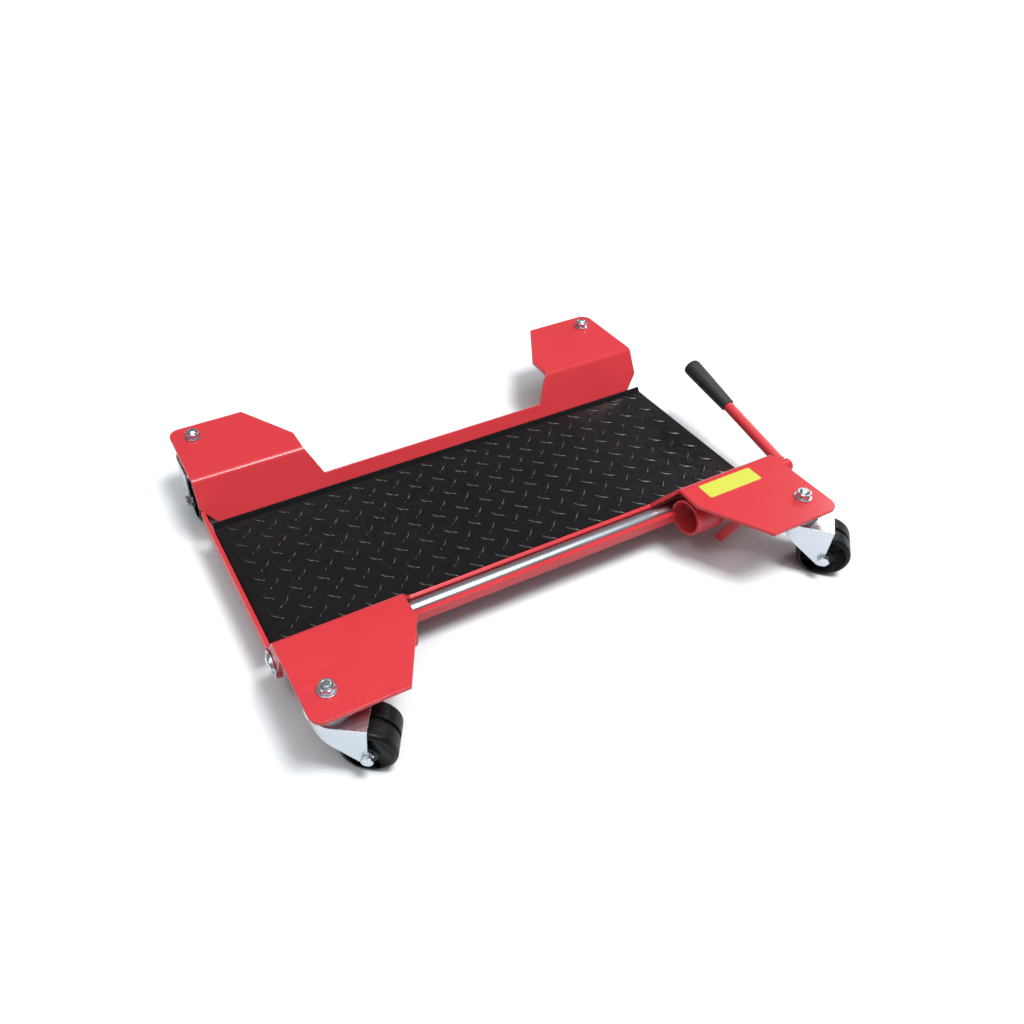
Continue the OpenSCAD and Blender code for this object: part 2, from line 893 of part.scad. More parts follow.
placed() deck_plate();
placed() rubber_mat();
placed() hanger(-hanger_outer_x);  // hanger_left_outer
placed() hanger(-hanger_inner_x);  // hanger_left_inner
placed() hanger(hanger_inner_x);  // hanger_right_inner
placed() hanger(hanger_outer_x);  // hanger_right_outer
placed() guard_strap(-strap_x);  // guard_strap_left
placed() guard_strap(strap_x);  // guard_strap_right
placed() lock_shaft();
placed() lock_bar();
placed() foot_ring(-ring_x - ring_l);  // foot_ring_left
placed() foot_ring(ring_x);  // foot_ring_right
placed() shaft_washer(-clip_x);  // shaft_washer_left
placed() shaft_washer(shaft_washer_x);  // shaft_washer_right
placed() retaining_clip(-clip_x - clip_t);  // retaining_clip_left
placed() retaining_clip(clip_x);  // retaining_clip_right
placed() lever_hub();
placed() lever_arm();
placed() lever_grip();
for (corner = CORNERS) {
    placed() mount_bolt(corner);
    placed() top_race(corner);
    placed() mount_washer(corner);
    placed() mount_nut(corner);
    placed() fork(corner);
    placed() swivel_balls(corner);
    placed() axle_bolt(corner);
    placed() axle_nut(corner);
    placed() axle_sleeve(corner);
    placed() wheel(corner);
}
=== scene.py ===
# %% [markdown]
# # A low motorcycle dolly in bent red sheet steel
# A motorcycle stands with its centre stand on this dolly and is then pushed sideways in a garage.
# The dolly is one bent sheet with a rubber treadplate mat, four small twin-tread casters, and a
# lever that turns a shaft, so that two rings press on the floor.
# The CAD model gives every shape and joint. This script gives it its surfaces: rounded sheet
# edges, moulded treads, weld beads, paint, zinc, rubber and light.
# All lengths in the notes are millimetres, and Blender's own unit here is the metre.

# %% Start
import json
import math

import bmesh
import bpy
from mathutils import Matrix, Quaternion, Vector

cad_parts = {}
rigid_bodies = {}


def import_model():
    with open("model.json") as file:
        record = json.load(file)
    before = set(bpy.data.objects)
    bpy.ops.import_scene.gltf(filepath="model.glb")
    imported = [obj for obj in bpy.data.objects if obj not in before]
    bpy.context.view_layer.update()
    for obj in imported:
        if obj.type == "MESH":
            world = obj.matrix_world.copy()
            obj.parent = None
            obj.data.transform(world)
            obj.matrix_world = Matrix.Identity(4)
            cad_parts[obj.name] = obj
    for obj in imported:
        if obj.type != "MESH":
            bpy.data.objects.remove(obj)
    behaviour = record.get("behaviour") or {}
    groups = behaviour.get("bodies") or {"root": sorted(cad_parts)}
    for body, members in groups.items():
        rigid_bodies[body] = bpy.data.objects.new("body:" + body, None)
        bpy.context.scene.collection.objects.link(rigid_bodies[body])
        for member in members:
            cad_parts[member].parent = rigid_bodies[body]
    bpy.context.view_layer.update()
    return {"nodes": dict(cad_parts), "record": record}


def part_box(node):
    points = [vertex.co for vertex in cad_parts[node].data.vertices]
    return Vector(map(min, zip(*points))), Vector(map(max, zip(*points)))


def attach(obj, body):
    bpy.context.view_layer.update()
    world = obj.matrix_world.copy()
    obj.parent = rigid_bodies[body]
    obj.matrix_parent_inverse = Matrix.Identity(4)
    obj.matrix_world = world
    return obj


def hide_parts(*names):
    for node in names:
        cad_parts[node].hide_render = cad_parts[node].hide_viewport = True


for old in list(bpy.data.objects):
    bpy.data.objects.remove(old)
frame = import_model()

# %% [markdown]
# ## One set of coordinates
# Drawings of a deck are easiest to read from its middle. The frame's origin lies under the middle
# of the whole outline, lever included, so one small function turns "millimetres from the deck's
# middle" into Blender's metres. X runs along the deck to the lever, Y to the rear and Z up.

# %% Deck coordinates
MM = 0.001
deck_low, deck_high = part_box("deck_plate")
deck_mid = (deck_low + deck_high) / 2


def deck(x, y, z):
    """A point in mm from the deck's middle and the floor, as Blender's metres."""
    return Vector((deck_mid.x + x * MM, deck_mid.y + y * MM, z * MM))


print("Deck's middle:", [round(v / MM, 2) for v in deck_mid.xy])

# %% [markdown]
# ## The camera
# The picture was taken from the front left corner, about 41 degrees above the floor, with a fairly
# short lens. The view's centre is not in the frame's middle, because the picture was cropped, so
# the camera is shifted a little rather than turned, and the parallel edges keep their directions.

# %% Camera
CAMERA_PLACE = (-392.94, -582.48, 656.81)
CAMERA_LOOK = (0.32969, 0.68354, -0.65121)
CAMERA_ROLL = -0.75
lens = bpy.data.cameras.new("photo_lens")
lens.sensor_width = 36.0
lens.lens = 30.505
lens.shift_x = 0.1210
lens.shift_y = -0.0283
lens.clip_start = 0.02
camera = bpy.data.objects.new("photo_camera", lens)
bpy.context.scene.collection.objects.link(camera)
camera.location = deck(*CAMERA_PLACE)
camera.rotation_mode = "QUATERNION"
roll = Quaternion((0, 0, 1), math.radians(CAMERA_ROLL))
camera.rotation_quaternion = Vector(CAMERA_LOOK).to_track_quat("-Z", "Y") @ roll
bpy.context.scene.camera = camera
print("Camera at", [round(v, 3) for v in camera.location])

# %% [markdown]
# ## Colour and node helpers
# Colours are picked from a screen, so they are sRGB hex values, and shaders work in linear light.
# One function turns one into the other. A second adds any node with its settings, its values and
# its links, so that a material reads from top to bottom like a recipe. A Mix node keeps sockets
# for every kind of data, so its colour sockets are found by number.

# %% Helpers for materials
MIX_SHARE, MIX_FIRST, MIX_SECOND, MIX_COLOUR = 0, 6, 7, 2


def srgb(code):
    """Linear RGBA from a hex colour such as #C81E28."""
    parts = [int(code[i : i + 2], 16) / 255 for i in (1, 3, 5)]
    linear = [p / 12.92 if p <= 0.04045 else ((p + 0.055) / 1.055) ** 2.4 for p in parts]
    return (*linear, 1.0)


def add(tree, kind, settings=None, values=None, links=None):
    """A node with its settings, its input values and what is linked into it."""
    made = tree.nodes.new(kind)
    for name, value in (settings or {}).items():
        setattr(made, name, value)
    for name, value in (values or {}).items():
        made.inputs[name].default_value = value
    for name, source in (links or {}).items():
        tree.links.new(source, made.inputs[name])
    return made


def per_mm(size):
    """A texture's scale for features that are size mm wide, on object coordinates in metres."""
    return 1 / (size * MM)


def new_finish(name):
    """An empty material: itself, its node tree, its shader and its object coordinates."""
    made = bpy.data.materials.new(name)
    made.use_nodes = True
    tree = made.node_tree
    shader = tree.nodes["Principled BSDF"]
    where = add(tree, "ShaderNodeTexCoord").outputs["Object"]
    return made, tree, shader, where


print("One millimetre features need a scale of", per_mm(1))

# %% [markdown]
# ## Red powder coat
# Powder coat is sprayed on dry and baked, and it flows into a thick skin that is glossy but not
# flat: shallow waves about 3 mm wide, called orange peel, break up every reflection.
# The colour shifts a little where the coat is thicker. Handling leaves faint dull patches, so the
# roughness follows a second broad pattern. The specular level is well under the usual 0.5, because
# the softbox overhead would wash out the red, and a weak clear coat gives the sharper highlight.

# %% Powder coat
red, tree, shader, where = new_finish("Gloss red powder coat")
thickness = add(tree, "ShaderNodeTexNoise", values={"Scale": per_mm(70), "Detail": 3.0},
                links={"Vector": where})
tone = add(tree, "ShaderNodeMix", {"data_type": "RGBA"},
           {MIX_FIRST: srgb("#AC2C31"), MIX_SECOND: srgb("#B9343B")},
           {MIX_SHARE: thickness.outputs[0]})
tree.links.new(tone.outputs[MIX_COLOUR], shader.inputs["Base Color"])
handling = add(tree, "ShaderNodeTexNoise", values={"Scale": per_mm(60), "Detail": 3.0},
               links={"Vector": where})
dulling = add(tree, "ShaderNodeMapRange",
              values={"From Min": 0.3, "From Max": 0.75, "To Min": 0.28, "To Max": 0.33},
              links={"Value": handling.outputs[0]})
tree.links.new(dulling.outputs[0], shader.inputs["Roughness"])
peel = add(tree, "ShaderNodeTexNoise", values={"Scale": per_mm(3), "Detail": 1.0},
           links={"Vector": where})
waves = add(tree, "ShaderNodeBump", values={"Strength": 0.16, "Distance": 0.00006},
            links={"Height": peel.outputs[0]})
tree.links.new(waves.outputs[0], shader.inputs["Normal"])
shader.inputs["Specular IOR Level"].default_value = 0.22
shader.inputs["Coat Weight"].default_value = 0.12
shader.inputs["Coat Roughness"].default_value = 0.12
print("Made", red.name)

# %% [markdown]
# ## Black rubber for the mat
# Moulded rubber is matt in itself, but a new mat still has a film of mould release, so each tread
# catches a bright streak. The film is uneven, and the roughness follows it in 9 mm patches. The
# grain is about 0.8 mm, drawn coarser than the real 0.3 mm so that it shows, and grey dust lies in
# broad faint patches.

# %% Mat rubber
rubber, tree, shader, where = new_finish("Moulded black rubber")
dust = add(tree, "ShaderNodeTexNoise", values={"Scale": per_mm(45), "Detail": 6.0},
           links={"Vector": where})
tone = add(tree, "ShaderNodeMix", {"data_type": "RGBA"},
           {MIX_FIRST: srgb("#060607"), MIX_SECOND: srgb("#100F12")},
           {MIX_SHARE: dust.outputs[0]})
tree.links.new(tone.outputs[MIX_COLOUR], shader.inputs["Base Color"])
film = add(tree, "ShaderNodeTexNoise", values={"Scale": per_mm(9), "Detail": 3.0},
           links={"Vector": where})
dulling = add(tree, "ShaderNodeMapRange",
              values={"From Min": 0.3, "From Max": 0.7, "To Min": 0.2, "To Max": 0.3},
              links={"Value": film.outputs[0]})
tree.links.new(dulling.outputs[0], shader.inputs["Roughness"])
grain = add(tree, "ShaderNodeTexNoise", values={"Scale": per_mm(0.8), "Detail": 2.0},
            links={"Vector": where})
pores = add(tree, "ShaderNodeBump", values={"Strength": 0.25, "Distance": 0.00005},
            links={"Height": grain.outputs[0]})
tree.links.new(pores.outputs[0], shader.inputs["Normal"])
shader.inputs["Specular IOR Level"].default_value = 0.36
print("Made", rubber.name)

# %% [markdown]
# The mat is cut from a wider roll, and a knife leaves a dull face with no film on it.

# %% Cut rubber
cut_rubber, tree, shader, where = new_finish("Knife cut edge of black rubber")
tearing = add(tree, "ShaderNodeTexNoise", values={"Scale": per_mm(1.5), "Detail": 4.0},
              links={"Vector": where})
tone = add(tree, "ShaderNodeMix", {"data_type": "RGBA"},
           {MIX_FIRST: srgb("#050505"), MIX_SECOND: srgb("#0E0D0F")},
           {MIX_SHARE: tearing.outputs[0]})
tree.links.new(tone.outputs[MIX_COLOUR], shader.inputs["Base Color"])
shader.inputs["Roughness"].default_value = 0.85
shader.inputs["Specular IOR Level"].default_value = 0.12
print("Made", cut_rubber.name)

# %% [markdown]
# ## Bright zinc plate
# The casters, bolts and washers are pressed or turned steel with a thin layer of zinc. Zinc is a
# bluish white metal. Passivation leaves patches that are a little yellower, about 18 mm across.
# The sheet below keeps its rolling lines, which stretch the highlights along one direction. They
# are drawn 4 mm apart, coarser than real ones, and one axis is squeezed to draw them out.

# %% Zinc plate
ALONG_THE_ROLL = (0.06, 1.0, 1.0)
zinc, tree, shader, where = new_finish("Bright zinc plate on steel")
shader.inputs["Metallic"].default_value = 1.0
patches = add(tree, "ShaderNodeTexNoise", values={"Scale": per_mm(18), "Detail": 2.0},
              links={"Vector": where})
tone = add(tree, "ShaderNodeMix", {"data_type": "RGBA"},
           {MIX_FIRST: srgb("#BDC5CF"), MIX_SECOND: srgb("#CBCFD2")},
           {MIX_SHARE: patches.outputs[0]})
tree.links.new(tone.outputs[MIX_COLOUR], shader.inputs["Base Color"])
along = add(tree, "ShaderNodeMapping", values={"Scale": ALONG_THE_ROLL},
            links={"Vector": where})
rolling = add(tree, "ShaderNodeTexNoise", values={"Scale": per_mm(4), "Detail": 1.0},
              links={"Vector": along.outputs[0]})
dulling = add(tree, "ShaderNodeMapRange",
              values={"From Min": 0.3, "From Max": 0.7, "To Min": 0.25, "To Max": 0.31},
              links={"Value": rolling.outputs[0]})
tree.links.new(dulling.outputs[0], shader.inputs["Roughness"])
lines = add(tree, "ShaderNodeBump", values={"Strength": 0.02, "Distance": 0.00002},
            links={"Height": rolling.outputs[0]})
tree.links.new(lines.outputs[0], shader.inputs["Normal"])
print("Made", zinc.name)

# %% [markdown]
# ## Ground steel, nylon, vinyl and yellow film
# Four smaller finishes. The balls and the sleeves are ground and hardened steel. The wheels are
# black nylon with a satin skin that floors scratch grey. The grip is a dipped vinyl sleeve, dark
# grey with a green cast. The film on the front wing is plain yellow vinyl.

# %% Ground steel
ground, tree, shader, where = new_finish("Ground bearing steel")
shader.inputs["Metallic"].default_value = 1.0
shader.inputs["Base Color"].default_value = srgb("#C9CACC")
polish = add(tree, "ShaderNodeTexNoise", values={"Scale": per_mm(2), "Detail": 3.0},
             links={"Vector": where})
dulling = add(tree, "ShaderNodeMapRange", values={"To Min": 0.1, "To Max": 0.22},
              links={"Value": polish.outputs[0]})
tree.links.new(dulling.outputs[0], shader.inputs["Roughness"])
print("Made", ground.name)

# %% Wheel nylon
nylon, tree, shader, where = new_finish("Satin black nylon")
scuffs = add(tree, "ShaderNodeTexNoise", values={"Scale": per_mm(6), "Detail": 7.0},
             links={"Vector": where})
scuffed = add(tree, "ShaderNodeMapRange",
              values={"From Min": 0.55, "From Max": 0.75, "To Min": 0.0, "To Max": 0.6},
              links={"Value": scuffs.outputs[0]})
tone = add(tree, "ShaderNodeMix", {"data_type": "RGBA"},
           {MIX_FIRST: srgb("#080809"), MIX_SECOND: srgb("#1C1C1D")},
           {MIX_SHARE: scuffed.outputs[0]})
tree.links.new(tone.outputs[MIX_COLOUR], shader.inputs["Base Color"])
dulling = add(tree, "ShaderNodeMapRange", values={"To Min": 0.32, "To Max": 0.55},
              links={"Value": scuffs.outputs[0]})
tree.links.new(dulling.outputs[0], shader.inputs["Roughness"])
skin = add(tree, "ShaderNodeBump", values={"Strength": 0.15, "Distance": 0.00006},
           links={"Height": scuffs.outputs[0]})
tree.links.new(skin.outputs[0], shader.inputs["Normal"])
shader.inputs["Specular IOR Level"].default_value = 0.18
print("Made", nylon.name)

# %% Grip vinyl
vinyl, tree, shader, where = new_finish("Dipped grey vinyl")
sweat = add(tree, "ShaderNodeTexNoise", values={"Scale": per_mm(10), "Detail": 4.0},
            links={"Vector": where})
tone = add(tree, "ShaderNodeMix", {"data_type": "RGBA"},
           {MIX_FIRST: srgb("#191E1D"), MIX_SECOND: srgb("#262B29")},
           {MIX_SHARE: sweat.outputs[0]})
tree.links.new(tone.outputs[MIX_COLOUR], shader.inputs["Base Color"])
dulling = add(tree, "ShaderNodeMapRange", values={"To Min": 0.42, "To Max": 0.62},
              links={"Value": sweat.outputs[0]})
tree.links.new(dulling.outputs[0], shader.inputs["Roughness"])
dip = add(tree, "ShaderNodeTexNoise", values={"Scale": per_mm(1.2), "Detail": 2.0},
          links={"Vector": where})
skin = add(tree, "ShaderNodeBump", values={"Strength": 0.2, "Distance": 0.00008},
           links={"Height": dip.outputs[0]})
tree.links.new(skin.outputs[0], shader.inputs["Normal"])
shader.inputs["Specular IOR Level"].default_value = 0.3
print("Made", vinyl.name)

# %% Yellow film
film_yellow, tree, shader, where = new_finish("Plain yellow vinyl film")
fading = add(tree, "ShaderNodeTexNoise", values={"Scale": per_mm(25), "Detail": 3.0},
             links={"Vector": where})
tone = add(tree, "ShaderNodeMix", {"data_type": "RGBA"},
           {MIX_FIRST: srgb("#B0B33D"), MIX_SECOND: srgb("#B7BA43")},
           {MIX_SHARE: fading.outputs[0]})
tree.links.new(tone.outputs[MIX_COLOUR], shader.inputs["Base Color"])
ripple = add(tree, "ShaderNodeBump", values={"Strength": 0.15, "Distance": 0.0001},
             links={"Height": fading.outputs[0]})
tree.links.new(ripple.outputs[0], shader.inputs["Normal"])
shader.inputs["Roughness"].default_value = 0.32
print("Made", film_yellow.name)

# %% [markdown]
# ## A finish for every CAD node
# The record gives each node a material slot. One table turns slots into the finishes above, so a
# node that no new piece replaces still has the right surface.

# %% Finishes by slot
FINISH = {"red_paint": red, "mat_rubber": rubber, "zinc_plate": zinc, "bright_steel": ground,
          "wheel_nylon": nylon, "grip_vinyl": vinyl}
slot_of = {part["node"]: part["material_slot"] for part in frame["record"]["subparts"]}
body_of = {node: body for body, nodes in frame["record"]["behaviour"]["bodies"].items()
           for node in nodes}
for name, cad in frame["nodes"].items():
    cad.data.materials.clear()
    cad.data.materials.append(FINISH[slot_of[name]])
print("Finishes given to", len(frame["nodes"]), "nodes")

# %% [markdown]
# ## Softened edges
# No sheared, pressed or cast edge is perfectly sharp: tumbling and paint round it, and the thin
# bright line that runs along each edge is what tells the eye that a thing is real. A copy of the
# CAD mesh is merged at its doubles, its flat triangles are joined into whole faces, and the edges
# that turn by more than 42 degrees get a small bevel, which leaves the sheet's round bends alone.
# Weighted normals then keep the flats flat in the shading.

# %% Edge softening
SHARP_TURN = math.radians(42)
FLAT_TURN = math.radians(0.6)


def dressed(name, mesh, finish_slot, body, stands_for=()):
    """A finished piece from a mesh: linked, shaded, painted, riding on a body."""
    made = bpy.data.objects.new(name, mesh)
    bpy.context.scene.collection.objects.link(made)
    if not mesh.materials:
        mesh.materials.append(FINISH[finish_slot])
    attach(made, body)
    if stands_for:
        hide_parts(*stands_for)
    return made


def smooth_shaded(bm, name, crease=40):
    """A mesh from bm, smooth but for the edges that turn more than crease degrees."""
    for face in bm.faces:
        face.smooth = True
    mesh = bpy.data.meshes.new(name)
    bm.to_mesh(mesh)
    bm.free()
    mesh.set_sharp_from_angle(angle=math.radians(crease))
    return mesh


def merged_copy(node):
    """A bmesh of a CAD node with its loose triangles joined into whole faces."""
    plain = frame["nodes"][node].data.copy()
    for layer in [a.name for a in plain.attributes if a.name == "custom_normal"]:
        plain.attributes.remove(plain.attributes[layer])
    bm = bmesh.new()
    bm.from_mesh(plain)
    bpy.data.meshes.remove(plain)
    bmesh.ops.remove_doubles(bm, verts=bm.verts, dist=0.02 * MM)
    bmesh.ops.dissolve_degenerate(bm, edges=bm.edges, dist=0.01 * MM)
    bmesh.ops.dissolve_limit(bm, angle_limit=FLAT_TURN, verts=bm.verts, edges=bm.edges)
    return bm


def softened(node, width, segments=2):
    """A piece that stands for a CAD node, with its sharp edges rounded by width mm."""
    bm = merged_copy(node)
    sharp = [e for e in bm.edges
             if len(e.link_faces) == 2 and e.calc_face_angle(0) > SHARP_TURN]
    bmesh.ops.bevel(bm, geom=sharp, offset=width * MM, offset_type="OFFSET", segments=segments,
                    profile=0.5, affect="EDGES", clamp_overlap=False, material=-1)
    made = dressed(node + "_finished", smooth_shaded(bm, node + "_finished"),
                   slot_of[node], body_of[node], [node])
    weighted = made.modifiers.new("flat faces stay flat", "WEIGHTED_NORMAL")
    weighted.keep_sharp = True
    return made


# %% [markdown]
# The deck and the lock's painted pieces are sheared or sawn and then painted, so their edges are
# rounder than the shaft's and the washers'.

# %% Deck and lock
deck_piece = softened("deck_plate", 0.7, segments=3)
for node, width in [("lock_bar", 0.6), ("foot_ring_left", 0.6), ("foot_ring_right", 0.6),
                    ("guard_strap_left", 0.6), ("guard_strap_right", 0.6), ("lock_shaft", 0.3),
                    ("hanger_left_outer", 0.5), ("hanger_left_inner", 0.5),
                    ("hanger_right_inner", 0.5), ("hanger_right_outer", 0.5),
                    ("shaft_washer_left", 0.3), ("shaft_washer_right", 0.3),
                    ("lever_hub", 0.5)]:
    softened(node, width)
print("Deck has", len(deck_piece.data.polygons), "faces")

# %% [markdown]
# ## Caster hardware
# The forks are pressed from 2.5 mm sheet, so their edges are rounder than those of the turned
# parts. Bolt heads are forged and have a small radius at each corner of the hexagon.

# %% Casters
CORNERS = ("front_left", "front_right", "rear_left", "rear_right")
for corner in CORNERS:
    softened("fork_" + corner, 0.45)
    softened("mount_bolt_" + corner, 0.35)
    softened("mount_washer_" + corner, 0.3)
    softened("axle_bolt_" + corner, 0.3)
    softened("axle_nut_" + corner, 0.3)
    softened("wheel_" + corner, 0.5, segments=3)
print("Casters softened")

# %% [markdown]
# The end of each bolt's thread stands a little out of its hexagon. The picture shows it as a bright
# ring on each wing. The crests are 1.25 apart, as on any M8 thread. Spinning one zigzag profile
# round the bolt's line is enough: at this size the eye doesn't tell rings from a helix.

# %% Thread ends
THREAD = [(0.0, 2.3), (3.0, 2.3), (3.85, 1.7), (3.3, 1.05), (3.95, 0.45), (3.3, -0.2),
          (3.95, -0.8), (3.3, -1.1)]
UPRIGHT = Matrix.Identity(3)


def spun(name, profile, foot, turn, steps, crease):
    """A mesh from (radius, height) pairs in mm, spun round the Z axis that turn gives at foot."""
    bm = bmesh.new()
    chain = [bm.verts.new(foot + turn @ Vector((r, 0, s)) * MM) for r, s in profile]
    edges = [bm.edges.new(pair) for pair in zip(chain, chain[1:])]
    bmesh.ops.spin(bm, geom=chain + edges, cent=foot, axis=turn.col[2], angle=math.tau,
                   steps=steps, use_merge=True, use_duplicate=False)
    bmesh.ops.remove_doubles(bm, verts=bm.verts, dist=0.01 * MM)
    bmesh.ops.recalc_face_normals(bm, faces=bm.faces)
    return smooth_shaded(bm, name, crease)


for corner in CORNERS:
    low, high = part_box("mount_bolt_" + corner)
    bolt_top = Vector(((low.x + high.x) / 2, (low.y + high.y) / 2, high.z))
    name = "thread_end_" + corner
    dressed(name, spun(name, THREAD, bolt_top, UPRIGHT, steps=28, crease=30),
            "zinc_plate", body_of["mount_bolt_" + corner])
print("Thread ends stand", THREAD[0][1], "mm proud")

# %% [markdown]
# ## The rubber mat
# The mat's sheet fills the platform and turns up a few millimetres along the rear slope, where its
# black edge shows above the bend. Its front edge ends at the bend. The sheet starts as one outline
# across the deck, in millimetres to the rear and up, which is pushed along the deck's length.
# Where the sheet ends, its faces meet at a right angle, and those edges are rounded a little.

# %% Mat sheet
MAT_LEFT, MAT_RIGHT, MAT_TOP = -272.0, 279.2, 35.0
MAT_ROUNDING = 0.5
END_TURN = math.radians(80)
REAR_EDGE = [(84.9, 32.02), (86.9, 32.8), (88.5, 34.4), (91.0, 38.4), (90.6, 39.1),
             (89.6, 39.3), (88.6, 38.8), (86.9, 36.2), (85.9, 35.3), (84.6, MAT_TOP)]
FRONT_EDGE = [(-85.4, MAT_TOP), (-85.8, 34.8), (-84.9, 32.02)]
mat = bmesh.new()
outline = [mat.verts.new(deck(MAT_LEFT, y, z)) for y, z in REAR_EDGE + FRONT_EDGE]
end_face = mat.faces.new(outline)
pushed = bmesh.ops.extrude_face_region(mat, geom=[end_face])
moved = [g for g in pushed["geom"] if isinstance(g, bmesh.types.BMVert)]
bmesh.ops.translate(mat, verts=moved, vec=((MAT_RIGHT - MAT_LEFT) * MM, 0, 0))
bmesh.ops.recalc_face_normals(mat, faces=mat.faces)
end_edges = [e for e in mat.edges
             if len(e.link_faces) == 2 and e.calc_face_angle(0) > END_TURN]
bmesh.ops.bevel(mat, geom=end_edges, offset=MAT_ROUNDING * MM, offset_type="OFFSET", segments=2,
                profile=0.5, affect="EDGES", clamp_overlap=False, material=-1)
print("Mat sheet has", len(mat.faces), "faces")

# %% [markdown]
# Every face that isn't level is a cut edge, so it takes the second of the mat's two finishes.

# %% Cut faces
RUBBER_SLOT, CUT_SLOT = 0, 1
LEVEL = 0.98
for face in mat.faces:
    face.material_index = CUT_SLOT if abs(face.normal.z) < LEVEL else RUBBER_SLOT
print("Cut faces:", sum(face.material_index == CUT_SLOT for face in mat.faces))

# %% [markdown]
# The treads are lens-shaped ridges, 20 long and 5 wide, domed so that each catches a streak of
# light along one side. A flat grid is drawn into that shape: its long sides become two arcs that
# meet in points, and its middle is raised. A power under 1 makes the dome full rather than peaked.

# %% One tread
TREAD_L, TREAD_W, TREAD_H = 20.0, 5.0, 1.2
TREAD_SINK = 0.05
DOME_POWER, TIP_POWER, TIP_SHARE = 0.5, 0.8, 0.7
tread_bulge = TREAD_W / 2
tread_arc = (TREAD_L ** 2 / 4 + tread_bulge ** 2) / TREAD_W


def tread_half_width(x):
    """Half the width of a tread at x mm from its middle: two arcs that meet in points."""
    return max(0.0, math.sqrt(tread_arc ** 2 - x * x) - (tread_arc - tread_bulge))


tread = bmesh.new()
bmesh.ops.create_grid(tread, x_segments=12, y_segments=6, size=0.5)
for v in tread.verts:
    along, across = v.co.x * TREAD_L, v.co.y * 2
    width = tread_half_width(along)
    tip = min(1.0, width / (TIP_SHARE * tread_bulge)) ** TIP_POWER
    dome = (1 - across ** 2) ** DOME_POWER * tip
    v.co = Vector((along, across * width, TREAD_H * dome - TREAD_SINK)) * MM
bmesh.ops.remove_doubles(tread, verts=tread.verts, dist=0.05 * MM)
tread_mesh = bpy.data.meshes.new("tread")
tread.to_mesh(tread_mesh)
tread.free()
print("One tread has", len(tread_mesh.polygons), "faces")

# %% [markdown]
# The pattern repeats every 28.75 along the deck and 26.7 across it. The second slant stands in the
# middle of each rectangle of the first, as on a sheet of treadplate. The treads are gathered in a
# mesh of their own, which then joins the sheet in one step.

# %% Treads on the mat
PITCH_X, PITCH_Y = 28.75, 26.7
TREAD_COLS, TREAD_ROWS = 9, 3
MAT_MIDDLE = 2.0
places = [(i * PITCH_X, j * PITCH_Y, -45)
          for i in range(-TREAD_COLS, TREAD_COLS + 1) for j in range(-TREAD_ROWS, TREAD_ROWS + 1)]
places += [((i + 0.5) * PITCH_X, (j + 0.5) * PITCH_Y, 45)
           for i in range(-TREAD_COLS, TREAD_COLS) for j in range(-TREAD_ROWS, TREAD_ROWS)]
field = bmesh.new()
for x, y, slant in places:
    first = len(field.verts)
    field.from_mesh(tread_mesh)
    field.verts.ensure_lookup_table()
    new = field.verts[first:]
    bmesh.ops.rotate(field, verts=new, cent=(0, 0, 0),
                     matrix=Matrix.Rotation(math.radians(slant), 3, "Z"))
    bmesh.ops.translate(field, verts=new, vec=deck(MAT_MIDDLE + x, y, MAT_TOP))
field.to_mesh(tread_mesh)
field.free()
mat.from_mesh(tread_mesh)
bpy.data.meshes.remove(tread_mesh)
smooth_mat = smooth_shaded(mat, "rubber_mat_finished", crease=50)
smooth_mat.materials.append(rubber)
smooth_mat.materials.append(cut_rubber)
mat_piece = dressed("rubber_mat_finished", smooth_mat,
                    "mat_rubber", "deck", ["rubber_mat"])
print("Treads:", len(places), "faces:", len(mat_piece.data.polygons))

# %% [markdown]
# ## The lever's grip
# The grip is a dipped sleeve: widest near its closed end, drawn in at the mouth, with a rolled rim
# there. Spinning one profile round the lever's line makes it. That line starts on the lock shaft's
# axis, in the middle of the CAD grip, and rises to the rear at the lever's own angle.

# %% Grip
SHAFT_Y, SHAFT_Z = -110.0, 43.0
LEVER_RISE = 12.8
GRIP_START = 96.6
GRIP_PROFILE = [(6.05, 0.9), (6.3, 0.25), (7.0, 0.0), (7.6, 0.4), (7.75, 1.4), (7.7, 3.0),
                (7.95, 8.0), (8.6, 24.0), (9.25, 42.0), (9.75, 56.0), (9.95, 63.0),
                (9.95, 66.5), (9.5, 68.8), (8.5, 70.2), (6.5, 70.85), (3.5, 71.0), (0.0, 71.0)]
grip_low, grip_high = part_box("lever_grip")
lever_rise = math.radians(LEVER_RISE)
lever_line = Vector((0, math.cos(lever_rise), math.sin(lever_rise)))
lever_foot = Vector(((grip_low.x + grip_high.x) / 2, deck(0, SHAFT_Y, 0).y, SHAFT_Z * MM))
along_lever = lever_line.to_track_quat("Z", "X").to_matrix()
grip_outline = [(r, GRIP_START + s) for r, s in GRIP_PROFILE]
dressed("lever_grip_finished",
        spun("lever_grip_finished", grip_outline, lever_foot, along_lever, steps=48, crease=60),
        "grip_vinyl", "lock", ["lever_grip"])
print("Grip is", GRIP_PROFILE[-1][1], "mm long")

# %% [markdown]
# ## Weld beads
# The rings, the straps and the lever are welded. A bead laid by hand looks like a row of coins that
# has slid over: overlapping drops, each a little under one radius along the seam. Small spheres are
# laid along the seam's points and pressed a little into the metal, and the paint covers them.

# %% Weld helper
DROP_STEP = 0.9


